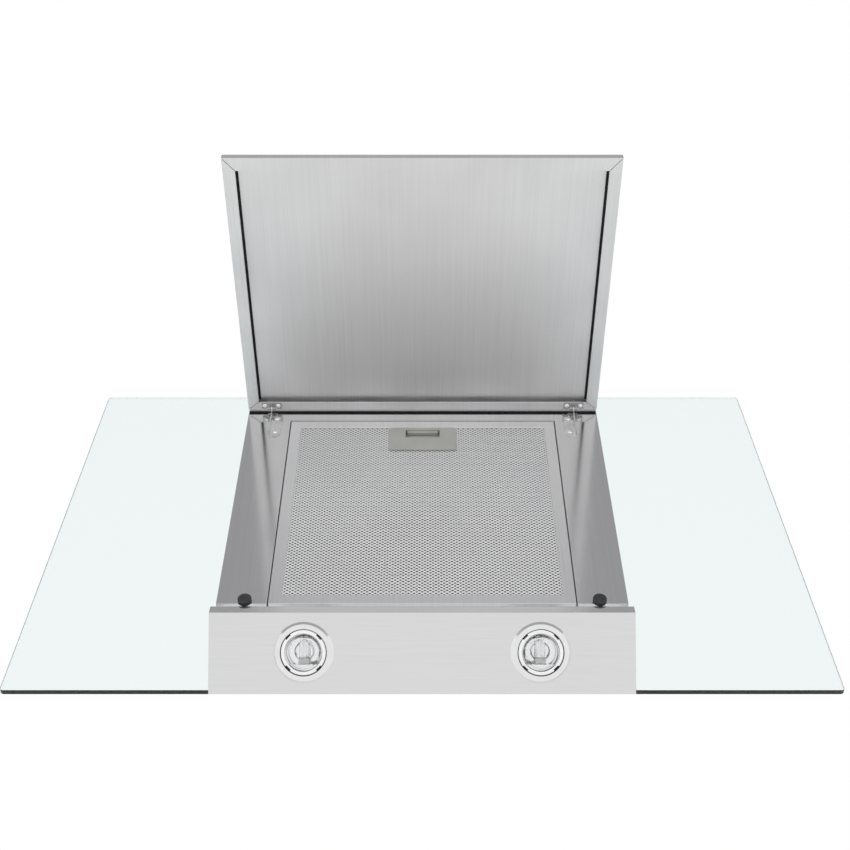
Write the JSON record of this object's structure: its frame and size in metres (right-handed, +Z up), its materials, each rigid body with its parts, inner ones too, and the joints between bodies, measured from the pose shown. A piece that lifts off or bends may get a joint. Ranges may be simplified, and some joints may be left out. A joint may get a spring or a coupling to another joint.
{
  "type": "wall range hood",
  "caption": "Inclined wall range hood with a clear glass canopy, steel intake box, hinged suction panel, mesh grease filter, lamps and a ducted fan",
  "frame": {"origin": "centre of the four wall-fixing holes, on the wall face of the wall plate", "axes": "+X along the hood's width, -Y out into the room, +Z up"},
  "size_m": [0.9, 0.5882, 0.5083],
  "materials": {
    "black_plastic": "gloss",
    "black_rubber": "matt",
    "bright_screws": "bright",
    "brushed_box": "brushed up the slope",
    "brushed_panel": "brushed up the slope",
    "ceramic": "unglazed ceramic",
    "clear_glass": "polished",
    "filter_aluminium": "bright expanded sheet",
    "galvanised": "plain galvanised",
    "grey_plastic": "satin",
    "lamp_chrome": "satin chrome",
    "lamp_glass": "clear",
    "lamp_strip": "fine satin",
    "motor_grey": "painted",
    "white_ring": "satin"
  },
  "bodies": {
    "housing": {"glass_canopy": "clear_glass", "glass_gasket": "black_rubber", "glass_screws": "bright_screws", "intake_box": "brushed_box", "filter_seat": "galvanised", "lamp_fascia": "lamp_strip", "lamp_bezel_left": "lamp_chrome", "lamp_clips_left": "lamp_chrome", "lamp_reflector_left": "lamp_chrome", "lamp_socket_left": "ceramic", "lamp_bulb_left": "lamp_glass", "panel_catch_left": "black_plastic", "hinge_bracket_left": "bright_screws", "bracket_screws_left": "bright_screws", "lamp_bezel_right": "lamp_chrome", "lamp_clips_right": "lamp_chrome", "lamp_reflector_right": "lamp_chrome", "lamp_socket_right": "ceramic", "lamp_bulb_right": "lamp_glass", "panel_catch_right": "black_plastic", "hinge_bracket_right": "bright_screws", "bracket_screws_right": "bright_screws", "wall_plate": "galvanised", "blower_casing": "galvanised", "casing_gasket": "black_rubber", "scroll_casing": "galvanised", "inlet_ring": "black_plastic", "motor_body": "motor_grey", "outlet_collar": "galvanised", "flap_pins": "bright_screws", "control_box": "black_plastic", "control_lid": "black_plastic", "capacitor": "white_ring", "capacitor_clip": "white_ring", "cable_gland": "black_plastic"},
    "panel": {"suction_panel": "brushed_panel", "hinge_leaf_left": "bright_screws", "hinge_pin_left": "bright_screws", "leaf_screws_left": "bright_screws", "hinge_leaf_right": "bright_screws", "hinge_pin_right": "bright_screws", "leaf_screws_right": "bright_screws"},
    "filter": {"filter_frame": "filter_aluminium", "filter_mesh": "filter_aluminium", "filter_core": "filter_aluminium", "filter_back_mesh": "filter_aluminium", "filter_handle": "grey_plastic"},
    "latch": {"filter_latch": "grey_plastic"},
    "fan": {"impeller": "black_plastic", "motor_shaft": "bright_screws"},
    "flap_front": {"flap_front": "galvanised"},
    "flap_rear": {"flap_rear": "galvanised"},
    "cover_left": {"lens_ring_left": "white_ring", "lamp_lens_left": "lamp_glass"},
    "cover_right": {"lens_ring_right": "white_ring", "lamp_lens_right": "lamp_glass"}
  },
  "joints": [
    {"name": "panel_hinge", "type": "hinge", "parent": "housing", "child": "panel", "pos_m": [0, -0.32058, 0.00408], "axis": [1, 0, 0], "range_deg": [0, 88.7]},
    {"name": "filter_lift", "type": "slide", "parent": "housing", "child": "filter", "axis": [0, -0.7559, -0.6547], "range_m": [0, 0.013]},
    {"name": "latch_slide", "type": "slide", "parent": "filter", "child": "latch", "axis": [0, 0.6547, -0.7559], "range_m": [0, 0.005], "stiffness_N_per_m": 300, "springref_m": -0.004},
    {"name": "fan_spin", "type": "hinge", "parent": "housing", "child": "fan", "pos_m": [0, -0.1, 0.06], "axis": [1, 0, 0], "continuous": true},
    {"name": "flap_front_hinge", "type": "hinge", "parent": "housing", "child": "flap_front", "pos_m": [0, -0.1499, 0.20987], "axis": [-1, 0, 0], "range_deg": [0, 80]},
    {"name": "flap_rear_hinge", "type": "hinge", "parent": "housing", "child": "flap_rear", "pos_m": [0, -0.1431, 0.20987], "axis": [1, 0, 0], "range_deg": [0, 80]},
    {"name": "cover_left_drop", "type": "slide", "parent": "housing", "child": "cover_left", "axis": [0, 0, -1], "range_m": [0, 0.016]},
    {"name": "cover_right_drop", "type": "slide", "parent": "housing", "child": "cover_right", "axis": [0, 0, -1], "range_m": [0, 0.016]}
  ]
}
